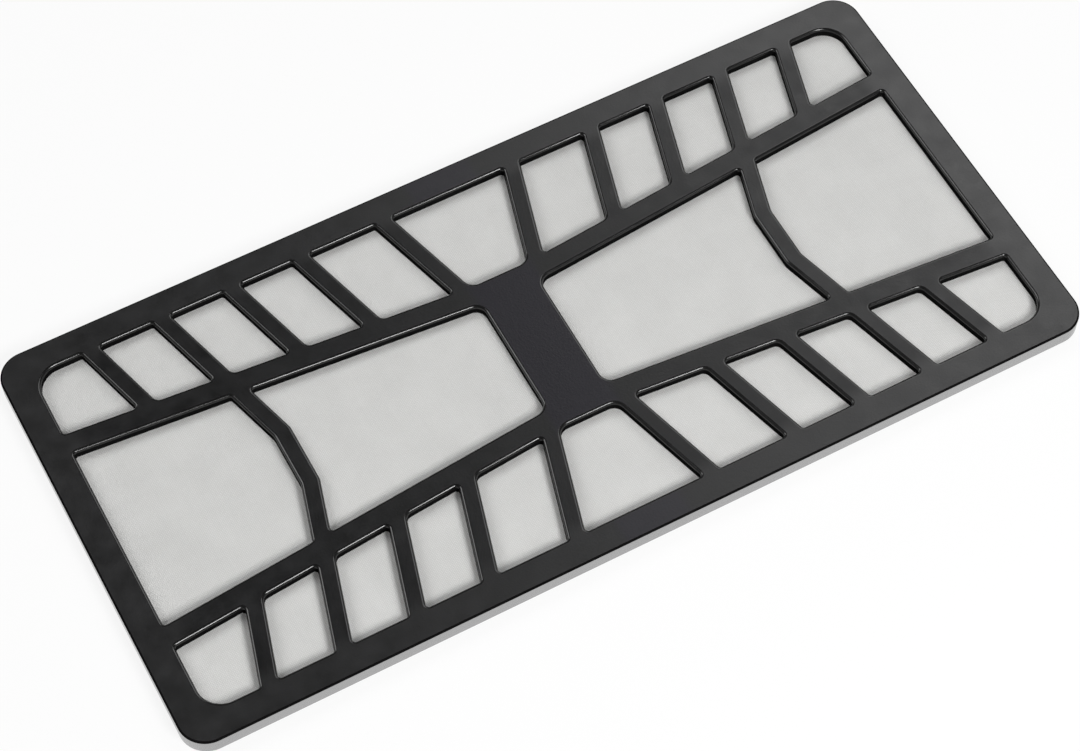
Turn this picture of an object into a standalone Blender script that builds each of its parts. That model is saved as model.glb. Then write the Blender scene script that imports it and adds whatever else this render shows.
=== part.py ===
"""Dust filter for a pair of fans: a flat moulded frame, a fine mesh behind it and four magnet strips.

Run with blender --background --python part.py, or from Blender's text editor. Units are metres and +Z is up.
X runs along the filter. Its finished face looks up, and its rear face, with the magnets, lies on Z = 0.
"""
import math

import bmesh
import bpy
from mathutils import Vector

MM = 0.001

# Frame: overall size, and rounded edges around its finished face
LENGTH = 258.0 * MM
WIDTH = 124.0 * MM
THICKNESS = 4.8 * MM
CORNER_RADIUS = 7.6 * MM
BORDER_ROUND = 0.5 * MM
WINDOW_ROUND = 0.8 * MM

# Border: what stands side by side in its rear face, from the outer edge inwards
EDGE_WALL = 1.2 * MM
MAGNET_WIDTH = 3.0 * MM
SIDE_LAND = 1.4 * MM
END_LAND = 1.75 * MM
MESH_OVERLAP = 1.8 * MM

# Long ribs: they come closer to each other towards the middle
LONG_RIB_WIDTH = 6.4 * MM
LONG_RIB_SLOPE = math.radians(4.9)
EDGE_ROW_DEPTH = 19.9 * MM

# Leaning ribs of the two edge rows, counted from the middle outwards
CROSS_RIB_WIDTH = 4.9 * MM
CROSS_RIB_LEAN = math.radians(16.0)
FIRST_RIB_OFFSET = 19.4 * MM
FIRST_RIB_SPACING = 24.5 * MM
RIB_SPACING = 20.2 * MM
LAST_RIB_CLEARANCE = 12.0 * MM

# Spine across the middle, and a bent divider on each side of it
SPINE_WIDTH = 17.1 * MM
SPINE_END_OVERHANG = 0.7 * MM
DIVIDER_OFFSET = 71.1 * MM
DIVIDER_WIDTH = 5.0 * MM
DIVIDER_LEAN = math.radians(16.0)
DIVIDER_STRAIGHT = 16.4 * MM

# Radii in the corners of the windows
SHARP_RADIUS = 0.8 * MM
FOOT_RADIUS = 2.0 * MM
SPINE_RADIUS = 3.2 * MM
BEND_RADIUS = 4.0 * MM
END_RADIUS = 6.6 * MM

# Filter mesh: a sheet with threads along Y on top and along X underneath, and open cells between them
MESH_RECESS = 1.35 * MM
MESH_CORE = 0.21 * MM
THREAD_RISE = 0.12 * MM
THREAD_WIDTH = 1.5 * MM
THREAD_GAP = 1.5 * MM
CELL_LEDGE = 0.25 * MM
CELL_COLUMNS = 20
CELL_ROWS = 6

# Magnet strips
MAGNET_THICKNESS = 1.6 * MM
MAGNET_END_SPACE = 12.0 * MM
MAGNET_CORNER_RADIUS = 0.6 * MM

# Space between pieces that touch, and reach of a cutter past the face that it cuts
FIT_GAP = 0.3 * MM
CUT_MARGIN = 2.0 * MM

# Fineness of round shapes, and the most of a side that an arc takes
ARC_TOLERANCE = 0.035 * MM
TANGENT_SHARE = 0.48
EDGE_STEPS = 2

# Worked out from the sizes above
GROOVE_WIDTH = MAGNET_WIDTH + 2 * FIT_GAP
GROOVE_DEPTH = MAGNET_THICKNESS + FIT_GAP
MAGNET_INSET = EDGE_WALL + GROOVE_WIDTH / 2
FIELD_X = LENGTH / 2 - (EDGE_WALL + GROOVE_WIDTH + END_LAND + MESH_OVERLAP)
FIELD_Y = WIDTH / 2 - (EDGE_WALL + GROOVE_WIDTH + SIDE_LAND + MESH_OVERLAP)
MESH_THICKNESS = MESH_CORE + 2 * THREAD_RISE
POCKET_DEPTH = MESH_RECESS + MESH_THICKNESS + FIT_GAP
THREAD_SPACING = THREAD_WIDTH + THREAD_GAP


def clear_scene():
    """Remove every object that the file starts with."""
    for item in list(bpy.data.objects):
        bpy.data.objects.remove(item, do_unlink=True)


def make_material(name, colour, roughness, metallic=0.0):
    """Return a Principled material."""
    material = bpy.data.materials.new(name)
    material.use_nodes = True
    shader = material.node_tree.nodes["Principled BSDF"]
    shader.inputs["Base Color"].default_value = (*colour, 1.0)
    shader.inputs["Roughness"].default_value = roughness
    shader.inputs["Metallic"].default_value = metallic
    return material


def add_object(name, bm, material=None):
    """Turn a bmesh into an object whose faces look outwards."""
    bmesh.ops.recalc_face_normals(bm, faces=bm.faces)
    mesh = bpy.data.meshes.new(name)
    bm.to_mesh(mesh)
    bm.free()
    item = bpy.data.objects.new(name, mesh)
    bpy.context.scene.collection.objects.link(item)
    if material:
        mesh.materials.append(material)
    return item


def add_cutter(name, bm):
    """Turn a bmesh into a hidden object that only shapes others."""
    cutter = add_object(name, bm)
    cutter.hide_render = True
    cutter.display_type = "WIRE"
    return cutter


def add_boolean(item, other, operation="DIFFERENCE"):
    """Add an exact Boolean with other to item."""
    modifier = item.modifiers.new(other.name, "BOOLEAN")
    modifier.operation = operation
    modifier.solver = "EXACT"
    modifier.object = other


# Plane geometry: a line is a point and a direction, and an outline is a list of (corner, radius)
# that runs anticlockwise

def line(point, angle):
    """Line through point, at angle from the X axis."""
    return Vector(point), Vector((math.cos(angle), math.sin(angle)))


def shifted(base, distance):
    """Line moved to its own left by distance."""
    point, direction = base
    return point + distance * Vector((-direction.y, direction.x)), direction


def crossing(first, second):
    """Point where two lines meet."""
    point_a, along_a = first
    point_b, along_b = second
    reach = (point_b - point_a).cross(along_b) / along_a.cross(along_b)
    return point_a + reach * along_a


def turned(vector, angle):
    """Vector turned anticlockwise by angle."""
    cosine = math.cos(angle)
    sine = math.sin(angle)
    return Vector((cosine * vector.x - sine * vector.y, sine * vector.x + cosine * vector.y))


def mirrored_in_x(outline):
    """Outline with its X values reversed, still anticlockwise."""
    return [(Vector((-corner.x, corner.y)), radius) for corner, radius in reversed(outline)]


def mirrored_in_y(outline):
    """Outline with its Y values reversed, still anticlockwise."""
    return [(Vector((corner.x, -corner.y)), radius) for corner, radius in reversed(outline)]


def grown(outline, distance):
    """Outline with every side moved outwards by distance, and each radius changed to match."""
    sides = []
    for index, (corner, _) in enumerate(outline):
        ahead = outline[(index + 1) % len(outline)][0]
        sides.append(shifted((corner, (ahead - corner).normalized()), -distance))
    moved = []
    for index, (_, radius) in enumerate(outline):
        before = sides[index - 1]
        after = sides[index]
        turns_left = before[1].cross(after[1]) > 0
        new_radius = radius + distance if turns_left else radius - distance
        moved.append((crossing(before, after), max(new_radius, ARC_TOLERANCE)))
    return moved


def arc_steps(turn, radius):
    """Number of straight steps that an arc needs."""
    largest_step = 2 * math.acos(1 - ARC_TOLERANCE / max(radius, 2 * ARC_TOLERANCE))
    return max(2, math.ceil(turn / largest_step))


def ring(outline, height, distance=0.0):
    """Points at one height along an outline with round corners, moved outwards by distance.

    Their number doesn't depend on the distance, so rings at several distances can be joined.
    """
    points = []
    moved = grown(outline, distance)
    for index, (corner, radius) in enumerate(moved):
        back = moved[index - 1][0] - corner
        ahead = moved[(index + 1) % len(moved)][0] - corner
        turn = math.pi - back.angle(ahead)
        longest_tangent = TANGENT_SHARE * min(back.length, ahead.length)
        tangent = min(radius * math.tan(turn / 2), longest_tangent)
        inwards = (back.normalized() + ahead.normalized()).normalized()
        centre = corner + inwards * tangent / math.sin(turn / 2)
        spoke = corner + tangent * back.normalized() - centre
        signed_turn = math.copysign(turn, ahead.cross(back))
        steps = arc_steps(turn, outline[index][1])
        for step in range(steps + 1):
            place = centre + turned(spoke, signed_turn * step / steps)
            points.append((place.x, place.y, height))
    return points


def add_stack(bm, rings):
    """Add the closed solid that rings make, one above another."""
    loops = [[bm.verts.new(point) for point in points] for points in rings]
    for lower, upper in zip(loops, loops[1:]):
        for index in range(len(lower)):
            following = (index + 1) % len(lower)
            bm.faces.new((lower[index], lower[following], upper[following], upper[index]))
    bm.faces.new(reversed(loops[0]))
    bm.faces.new(loops[-1])


def edge_round(radius):
    """Pairs of (height, distance inwards) up a rounded edge of the finished face."""
    pairs = []
    for step in range(EDGE_STEPS + 1):
        angle = math.pi / 2 * step / EDGE_STEPS
        height = THICKNESS - radius * (1 - math.sin(angle))
        pairs.append((height, radius * (1 - math.cos(angle))))
    return pairs


def rectangle(half_x, half_y, radius, centre=(0.0, 0.0)):
    """Outline of a rectangle with one radius in its corners."""
    signs = ((1, 1), (-1, 1), (-1, -1), (1, -1))
    return [(Vector((centre[0] + x * half_x, centre[1] + y * half_y)), radius) for x, y in signs]


# Edges of the ribs, in the quarter where X and Y are positive

UPWARDS = math.pi / 2
SIDE_LINE = line((0.0, FIELD_Y), 0.0)
END_LINE = line((FIELD_X, 0.0), UPWARDS)
SPINE_LINE = line((SPINE_WIDTH / 2, 0.0), UPWARDS)
LONG_RIB_OUTER = line((FIELD_X, FIELD_Y - EDGE_ROW_DEPTH), LONG_RIB_SLOPE)
LONG_RIB_INNER = shifted(LONG_RIB_OUTER, -LONG_RIB_WIDTH)


def cross_rib(offset):
    """Edges of a leaning rib, the one nearer the middle first."""
    centre_line = line((offset, FIELD_Y), UPWARDS - CROSS_RIB_LEAN)
    return shifted(centre_line, CROSS_RIB_WIDTH / 2), shifted(centre_line, -CROSS_RIB_WIDTH / 2)


def cross_ribs():
    """Edges of every leaning rib in the quarter, from the middle outwards."""
    second = FIRST_RIB_OFFSET + FIRST_RIB_SPACING
    room = FIELD_X - LAST_RIB_CLEARANCE - second
    evenly_spaced = [second + RIB_SPACING * index for index in range(int(room / RIB_SPACING) + 1)]
    return [cross_rib(offset) for offset in [FIRST_RIB_OFFSET] + evenly_spaced]


def edge_row_windows():
    """Outlines of the windows in the quarter's edge row, without the middle one."""
    ribs = cross_ribs()
    windows = []
    for (_, near_side), (far_side, _) in zip(ribs, ribs[1:]):
        windows.append([
            (crossing(far_side, SIDE_LINE), SHARP_RADIUS),
            (crossing(near_side, SIDE_LINE), SHARP_RADIUS),
            (crossing(near_side, LONG_RIB_OUTER), SHARP_RADIUS),
            (crossing(far_side, LONG_RIB_OUTER), FOOT_RADIUS),
        ])
    _, last_side = ribs[-1]
    windows.append([
        (crossing(END_LINE, SIDE_LINE), END_RADIUS),
        (crossing(last_side, SIDE_LINE), SHARP_RADIUS),
        (crossing(last_side, LONG_RIB_OUTER), SHARP_RADIUS),
        (crossing(END_LINE, LONG_RIB_OUTER), SHARP_RADIUS),
    ])
    return windows


def middle_edge_window():
    """Outline of the window at the spine's end, symmetric about X = 0."""
    rib_side, _ = cross_rib(FIRST_RIB_OFFSET)
    ribs_meet = line(crossing(LONG_RIB_OUTER, line((0.0, 0.0), UPWARDS)), 0.0)
    spine_end = shifted(ribs_meet, SPINE_END_OVERHANG)
    right_half = [
        (crossing(rib_side, spine_end), SPINE_RADIUS),
        (crossing(rib_side, SIDE_LINE), SHARP_RADIUS),
    ]
    return right_half + mirrored_in_x(right_half)


def middle_row_windows():
    """Outlines of the two windows between the long ribs where X is positive."""
    straight = line((DIVIDER_OFFSET, 0.0), UPWARDS)
    leaning = line((DIVIDER_OFFSET, DIVIDER_STRAIGHT / 2), UPWARDS - DIVIDER_LEAN)
    half_width = DIVIDER_WIDTH / 2
    inner_top = [
        (crossing(shifted(straight, half_width), shifted(leaning, half_width)), BEND_RADIUS),
        (crossing(shifted(leaning, half_width), LONG_RIB_INNER), SHARP_RADIUS),
        (crossing(SPINE_LINE, LONG_RIB_INNER), SPINE_RADIUS),
    ]
    outer_top = [
        (crossing(END_LINE, LONG_RIB_INNER), SHARP_RADIUS),
        (crossing(shifted(leaning, -half_width), LONG_RIB_INNER), SHARP_RADIUS),
        (crossing(shifted(straight, -half_width), shifted(leaning, -half_width)), BEND_RADIUS),
    ]
    return [half + mirrored_in_y(half) for half in (inner_top, outer_top)]


def all_windows():
    """Outlines of every window of the frame."""
    far_right = edge_row_windows()
    far_row = far_right + [mirrored_in_x(window) for window in far_right] + [middle_edge_window()]
    near_row = [mirrored_in_y(window) for window in far_row]
    right = middle_row_windows()
    left = [mirrored_in_x(window) for window in right]
    return far_row + near_row + right + left


def magnet_strips():
    """Name and outline of each magnet strip."""
    side_length = LENGTH / 2 - MAGNET_END_SPACE
    end_length = WIDTH / 2 - MAGNET_END_SPACE
    side_offset = WIDTH / 2 - MAGNET_INSET
    end_offset = LENGTH / 2 - MAGNET_INSET
    half_width = MAGNET_WIDTH / 2
    return {
        "magnet_strip_front": rectangle(side_length, half_width, MAGNET_CORNER_RADIUS, (0.0, -side_offset)),
        "magnet_strip_back": rectangle(side_length, half_width, MAGNET_CORNER_RADIUS, (0.0, side_offset)),
        "magnet_strip_left": rectangle(half_width, end_length, MAGNET_CORNER_RADIUS, (-end_offset, 0.0)),
        "magnet_strip_right": rectangle(half_width, end_length, MAGNET_CORNER_RADIUS, (end_offset, 0.0)),
    }


def pocket_outline():
    """Outline of the pocket that the mesh lies in."""
    return grown(rectangle(FIELD_X, FIELD_Y, END_RADIUS), MESH_OVERLAP)


def build_frame(material):
    """The moulded frame: border, ribs, dividers and spine in one piece."""
    bm = bmesh.new()
    border = rectangle(LENGTH / 2, WIDTH / 2, CORNER_RADIUS)
    rings = [ring(border, height, -inwards) for height, inwards in edge_round(BORDER_ROUND)]
    add_stack(bm, [ring(border, 0.0)] + rings)
    frame = add_object("frame", bm, material)

    bm = bmesh.new()
    for window in all_windows():
        rings = [ring(window, -CUT_MARGIN)]
        rings += [ring(window, height, inwards) for height, inwards in edge_round(WINDOW_ROUND)]
        rings.append(ring(window, THICKNESS + CUT_MARGIN, WINDOW_ROUND))
        add_stack(bm, rings)
    add_boolean(frame, add_cutter("window_cutter", bm))

    bm = bmesh.new()
    add_stack(bm, [ring(pocket_outline(), -CUT_MARGIN), ring(pocket_outline(), POCKET_DEPTH)])
    add_boolean(frame, add_cutter("mesh_pocket_cutter", bm))

    bm = bmesh.new()
    for strip in magnet_strips().values():
        add_stack(bm, [ring(strip, -CUT_MARGIN, FIT_GAP), ring(strip, GROOVE_DEPTH, FIT_GAP)])
    add_boolean(frame, add_cutter("magnet_groove_cutter", bm))
    return frame


def thread_places(span):
    """Middle of each thread across a sheet of this span."""
    count = int(span / THREAD_SPACING)
    first = -THREAD_SPACING * (count - 1) / 2
    return [first + THREAD_SPACING * index for index in range(count)]


def thread_profile(span):
    """Pairs of (place, rise) across a sheet of this span, with a ridge at each thread."""
    profile = [(-span / 2, 0.0)]
    for middle in thread_places(span):
        profile.append((middle - THREAD_WIDTH / 2, 0.0))
        profile.append((middle, THREAD_RISE))
        profile.append((middle + THREAD_WIDTH / 2, 0.0))
    profile.append((span / 2, 0.0))
    return profile


def cell_places(span, wanted):
    """Middle of each open cell across a sheet: always halfway between two threads."""
    halfway = [middle + THREAD_SPACING / 2 for middle in thread_places(span)[:-1]]
    count = min(wanted, len(halfway))
    step = len(halfway) // count
    first = (len(halfway) - 1 - step * (count - 1)) // 2
    return [halfway[first + step * index] for index in range(count)]


def add_ridged_sheet(bm, span_x, span_y, low, high):
    """Add a closed sheet between two heights: ridges along Y on its top and along X on its underside."""
    half_x = span_x / 2
    half_y = span_y / 2
    top = [[bm.verts.new((place, side, high + rise)) for place, rise in thread_profile(span_x)]
           for side in (-half_y, half_y)]
    bottom = [[bm.verts.new((side, place, low - rise)) for place, rise in thread_profile(span_y)]
              for side in (-half_x, half_x)]
    for near, far in (top, bottom):
        for index in range(len(near) - 1):
            bm.faces.new((near[index], near[index + 1], far[index + 1], far[index]))
    near_top, far_top = top
    left_bottom, right_bottom = bottom
    bm.faces.new(near_top + [right_bottom[0], left_bottom[0]])
    bm.faces.new(far_top + [right_bottom[-1], left_bottom[-1]])
    bm.faces.new(left_bottom + [far_top[0], near_top[0]])
    bm.faces.new(right_bottom + [far_top[-1], near_top[-1]])


def build_mesh(material):
    """The filter mesh, trimmed to its pocket."""
    low = MESH_RECESS + THREAD_RISE
    high = low + MESH_CORE
    span_x = 2 * (FIELD_X + MESH_OVERLAP + CUT_MARGIN)
    span_y = 2 * (FIELD_Y + MESH_OVERLAP + CUT_MARGIN)
    bm = bmesh.new()
    add_ridged_sheet(bm, span_x, span_y, low, high)
    sheet = add_object("filter_mesh", bm, material)

    bm = bmesh.new()
    heights = (low - CUT_MARGIN, high + CUT_MARGIN)
    add_stack(bm, [ring(pocket_outline(), height, -FIT_GAP) for height in heights])
    add_boolean(sheet, add_cutter("mesh_trim_cutter", bm), "INTERSECT")

    bm = bmesh.new()
    half_cell = THREAD_GAP / 2 - CELL_LEDGE
    for x in cell_places(span_x, CELL_COLUMNS):
        for y in cell_places(span_y, CELL_ROWS):
            cell = rectangle(half_cell, half_cell, 0.0, (x, y))
            add_stack(bm, [[(corner.x, corner.y, height) for corner, _ in cell] for height in heights])
    add_boolean(sheet, add_cutter("open_cell_cutter", bm))
    return sheet


def build_magnets(material):
    """The four magnet strips, flush with the frame's rear face."""
    for name, strip in magnet_strips().items():
        bm = bmesh.new()
        add_stack(bm, [ring(strip, 0.0), ring(strip, MAGNET_THICKNESS)])
        add_object(name, bm, material)


clear_scene()
build_frame(make_material("black_plastic", (0.045, 0.045, 0.048), 0.55))
build_mesh(make_material("light_mesh", (0.60, 0.60, 0.58), 0.8))
build_magnets(make_material("magnet_strip", (0.055, 0.048, 0.042), 0.7))
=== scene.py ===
"""Looks of a flat dust filter: moulded black frame, fine light-grey mesh and magnet strips.

Everything is in metres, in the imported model's own frame: X runs along the filter and +Z leaves its
finished face. Angles are in radians unless a docstring says otherwise.
"""
import logging
import math
from dataclasses import dataclass, field
from enum import Enum

import bmesh
import bpy
from mathutils import Matrix, Vector

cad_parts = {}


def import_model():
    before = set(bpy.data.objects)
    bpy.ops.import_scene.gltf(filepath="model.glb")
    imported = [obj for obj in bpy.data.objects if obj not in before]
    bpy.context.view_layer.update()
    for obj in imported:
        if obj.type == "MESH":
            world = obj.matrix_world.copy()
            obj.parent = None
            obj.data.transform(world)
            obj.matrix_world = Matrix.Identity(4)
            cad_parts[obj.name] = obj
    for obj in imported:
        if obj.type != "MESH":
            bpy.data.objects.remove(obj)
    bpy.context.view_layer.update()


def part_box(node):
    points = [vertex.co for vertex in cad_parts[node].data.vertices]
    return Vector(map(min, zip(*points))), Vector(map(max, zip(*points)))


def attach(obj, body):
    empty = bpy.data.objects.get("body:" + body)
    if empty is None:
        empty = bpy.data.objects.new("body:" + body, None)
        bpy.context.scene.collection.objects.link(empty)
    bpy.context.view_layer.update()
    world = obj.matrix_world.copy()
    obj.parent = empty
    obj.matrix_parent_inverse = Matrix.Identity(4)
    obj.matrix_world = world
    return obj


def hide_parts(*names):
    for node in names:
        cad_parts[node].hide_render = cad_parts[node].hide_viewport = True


MM = 0.001
QUARTER_TURN = math.pi / 2
BODY = "root"
THREAD_TONE = "thread_tone"
THREAD_LENGTHS = ("Corner Radius", "Spacing", "Thread Width", "Thread Height")
LEVEL_TOLERANCE = 0.001 * MM
LEVEL_SHARE = 0.999  # of a normal's length along Z, from which a face counts as level
ARC_POINTS = 5  # in a corner of no radius
ARC_DENSITY = 1500.0  # more points for each metre of the corner's radius
MIX_INPUTS = (0, 6, 7)  # the Mix node's factor and its two colours
MIX_RESULT = 2
WHITE = (1.0, 1.0, 1.0, 1.0)
REVERSE_X = (-1, 1)
REVERSE_Y = (1, -1)

Corner = tuple[Vector, float]
Outline = list[Corner]
Line = tuple[Vector, Vector]
Point = tuple[float, float]
Colour = tuple[float, float, float]
Socket = bpy.types.NodeSocket
Tree = bpy.types.NodeTree
Thing = bpy.types.Object

log = logging.getLogger("dust_filter")


class Zone(Enum):
    """Parts of the moulding that have a finish of their own."""

    WALLS = "walls"
    WINDOW_EDGE = "window_edge"
    OUTER_WALL = "outer_wall"
    FINISHED_FACE = "finished_face"


class Direction(Enum):
    """Way that a layer of threads runs, as a turn about Z."""

    ACROSS = 0.0
    ALONG = QUARTER_TURN


class NodeGraph:
    """A node tree with a short way to add nodes and links."""

    def __init__(self, tree: Tree) -> None:
        """Wrap the tree that nodes are added to."""
        self.tree = tree

    def add(self, kind: str, inputs: dict | None = None, **settings: object) -> bpy.types.Node:
        """Add a node.

        Args:
            kind: The node's type name.
            inputs: What each input is fed, by name or by number.
            settings: The node's own properties.

        Returns:
            The new node.
        """
        node = self.tree.nodes.new(kind)
        for name, value in settings.items():
            setattr(node, name, value)
        for key, value in (inputs or {}).items():
            self.feed(node.inputs[key], value)
        return node

    def feed(self, target: Socket, value: object) -> None:
        """Give an input its value.

        Args:
            target: The input.
            value: A socket to link it to, a node whose first output it takes, or a plain value.
        """
        if isinstance(value, bpy.types.Node):
            value = value.outputs[0]
        if isinstance(value, Socket):
            self.tree.links.new(value, target)
        else:
            target.default_value = value

    def math(self, operation: str, *values: object) -> Socket:
        """Result of a Math node with this operation and these inputs, in order."""
        return self.add("ShaderNodeMath", dict(enumerate(values)), operation=operation).outputs[0]

    def vector(self, **parts: object) -> Socket:
        """Vector with these parts, such as X=1.0, and 0 for the others."""
        return self.add("ShaderNodeCombineXYZ", parts).outputs[0]

    def axes(self, vector: Socket) -> bpy.types.NodeOutputs:
        """X, Y and Z of a vector, by name."""
        return self.add("ShaderNodeSeparateXYZ", {0: vector}).outputs

    def fade(self, value: object, zero: float, one: float, **settings: object) -> Socket:
        """Share that goes from 0 at the value zero to 1 at the value one, and stays there past them."""
        limits = {"Value": value, "From Min": zero, "From Max": one}
        return self.add("ShaderNodeMapRange", limits, **settings).outputs[0]

    def position(self, axis: str) -> Socket:
        """Each point's position along an axis, in a Geometry Nodes tree."""
        return self.axes(self.add("GeometryNodeInputPosition").outputs[0])[axis]


def new_group(
        name: str, kind: str, inputs: dict[str, list[str]], outputs: dict[str, list[str]]
) -> tuple[NodeGraph, bpy.types.NodeOutputs, bpy.types.NodeInputs]:
    """Make a node group with named sockets, whose values are set where the group is used.

    Args:
        name: The group's name.
        kind: "Shader" or "Geometry".
        inputs: Names of the input sockets, by their kind, such as "Float".
        outputs: Names of the output sockets, by their kind.

    Returns:
        The group's graph, the values that it is given, and the sockets of its results.
    """
    tree = bpy.data.node_groups.new(name, f"{kind}NodeTree")
    for in_out, sockets in (("INPUT", inputs), ("OUTPUT", outputs)):
        for socket_kind, names in sockets.items():
            for item in names:
                tree.interface.new_socket(item, in_out=in_out, socket_type=f"NodeSocket{socket_kind}")
    graph = NodeGraph(tree)
    return graph, graph.add("NodeGroupInput").outputs, graph.add("NodeGroupOutput").inputs


def link_object(name: str, data: bpy.types.ID) -> Thing:
    """Add an object to the scene.

    Args:
        name: The object's name.
        data: Its mesh, curve, lamp or camera.

    Returns:
        The object.
    """
    item = bpy.data.objects.new(name, data)
    bpy.context.scene.collection.objects.link(item)
    return item


def run_tree(host: Thing, tree: Tree, values: dict[str, object], name: str) -> Thing:
    """Run a Geometry Nodes tree on an object and keep its result as a plain mesh.

    Args:
        host: The object whose data is the tree's input; it is removed.
        tree: The tree.
        values: Input values by socket name.
        name: The finished piece's name.

    Returns:
        The piece, at the origin, with no modifier.
    """
    modifier = host.modifiers.new(tree.name, "NODES")
    modifier.node_group = tree
    identifiers = {item.name: item.identifier for item in tree.interface.items_tree
                   if item.item_type == "SOCKET" and item.in_out == "INPUT"}
    for socket_name, value in values.items():
        modifier[identifiers[socket_name]] = value
    graph = bpy.context.evaluated_depsgraph_get()
    mesh = bpy.data.meshes.new_from_object(host.evaluated_get(graph))
    mesh.name = name
    bpy.data.objects.remove(host, do_unlink=True)
    return link_object(name, mesh)


# Plane geometry: an outline is a list of (corner, radius)

def line(point: Point, angle: float) -> Line:
    """Line through a point, at an angle from the X axis."""
    return Vector(point), Vector((math.cos(angle), math.sin(angle)))


def shifted(base: Line, distance: float) -> Line:
    """Line moved to its own left by a distance."""
    point, direction = base
    return point + distance * Vector((-direction.y, direction.x)), direction


def crossing(first: Line, second: Line) -> Vector:
    """Point where two lines meet.

    Args:
        first: A line.
        second: A line that isn't parallel to it.

    Returns:
        The point.
    """
    point_a, along_a = first
    point_b, along_b = second
    reach = (point_b - point_a).cross(along_b) / along_a.cross(along_b)
    return point_a + reach * along_a


def mirrored(outline: Outline, flip: tuple[int, int]) -> Outline:
    """Outline mirrored by REVERSE_X or REVERSE_Y, which keeps its turning direction."""
    flip_x, flip_y = flip
    return [(Vector((corner.x * flip_x, corner.y * flip_y)), radius)
            for corner, radius in reversed(outline)]


def rectangle(half_x: float, half_y: float, radius: float, centre: Point = (0.0, 0.0)) -> Outline:
    """Rectangle with one radius in its corners, anticlockwise."""
    signs = ((1, 1), (-1, 1), (-1, -1), (1, -1))
    return [(Vector((centre[0] + x * half_x, centre[1] + y * half_y)), radius) for x, y in signs]


def outline_curve(name: str, outlines: list[Outline]) -> Thing:
    """Make a curve object with a closed spline for each outline.

    Args:
        name: The object's name.
        outlines: The outlines.

    Returns:
        The object. The radius of a point is the radius of its corner.
    """
    curve = bpy.data.curves.new(name, "CURVE")
    curve.dimensions = "3D"
    for outline in outlines:
        spline = curve.splines.new("POLY")
        spline.points.add(len(outline) - 1)
        spline.use_cyclic_u = True
        for point, (corner, radius) in zip(spline.points, outline):
            point.co = (corner.x, corner.y, 0.0, 1.0)
            point.radius = radius
    return link_object(name, curve)


# Geometry Nodes groups

def wall_group() -> Tree:
    """Group that sweeps a wall and its rounded top edge along outlines with the solid on their left.

    A profile's Y axis points down once it is swept, so heights are negative in it.

    Returns:
        The group.
    """
    graph, given, result = new_group(
        "swept_wall", "Geometry",
        {"Geometry": ["Outlines"], "Float": ["Bottom", "Top", "Edge Round"], "Int": ["Edge Points"]},
        {"Geometry": ["Wall", "Edge"]},
    )
    radius = graph.add("GeometryNodeInputRadius").outputs[0]
    count = graph.math("ADD", ARC_POINTS, graph.math("MULTIPLY", radius, ARC_DENSITY))
    rounded = graph.add("GeometryNodeFilletCurve", {
        "Curve": given["Outlines"], "Count": count, "Radius": radius, "Limit Radius": True}, mode="POLY")
    upright = graph.add("GeometryNodeSetCurveNormal", {"Curve": rounded}, mode="Z_UP")
    path = graph.add("GeometryNodeSetCurveRadius", {"Curve": upright, "Radius": 1.0})

    foot = graph.math("MULTIPLY", given["Bottom"], -1.0)
    shoulder = graph.math("SUBTRACT", given["Edge Round"], given["Top"])
    straight = graph.add("GeometryNodeCurvePrimitiveLine", {
        "Start": graph.vector(Y=foot), "End": graph.vector(Y=shoulder)})
    arc = graph.add("GeometryNodeCurveArc", {
        "Resolution": given["Edge Points"], "Radius": given["Edge Round"],
        "Start Angle": 0.0, "Sweep Angle": -QUARTER_TURN}, mode="RADIUS")
    arc_centre = graph.vector(X=graph.math("MULTIPLY", given["Edge Round"], -1.0), Y=shoulder)
    placed_arc = graph.add("GeometryNodeTransform", {
        "Geometry": arc.outputs["Curve"], "Translation": arc_centre})
    for profile, output in ((straight, "Wall"), (placed_arc, "Edge")):
        swept = graph.add("GeometryNodeCurveToMesh", {"Curve": path, "Profile Curve": profile})
        graph.feed(result[output], swept)
    return graph.tree


def level_group() -> Tree:
    """Group that closes the open rings of swept walls at one height, and leaves holes inside holes.

    Returns:
        The group.
    """
    graph, given, result = new_group(
        "flat_level", "Geometry", {"Geometry": ["Walls"], "Float": ["Height"]}, {"Geometry": ["Level"]})
    neighbours = graph.add("GeometryNodeInputMeshEdgeNeighbors").outputs[0]
    on_rim = graph.math("COMPARE", neighbours, 1.0, 0.1)  # only one face meets the edge
    at_height = graph.math("COMPARE", graph.position("Z"), given["Height"], LEVEL_TOLERANCE)
    rings = graph.add("GeometryNodeMeshToCurve", {
        "Mesh": given["Walls"], "Selection": graph.math("MULTIPLY", on_rim, at_height)})
    filled = graph.add("GeometryNodeFillCurve", {"Curve": rings}, mode="NGONS")
    raised = graph.add("GeometryNodeTransform", {
        "Geometry": filled, "Translation": graph.vector(Z=given["Height"])})
    graph.feed(result["Level"], raised)
    return graph.tree


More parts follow.
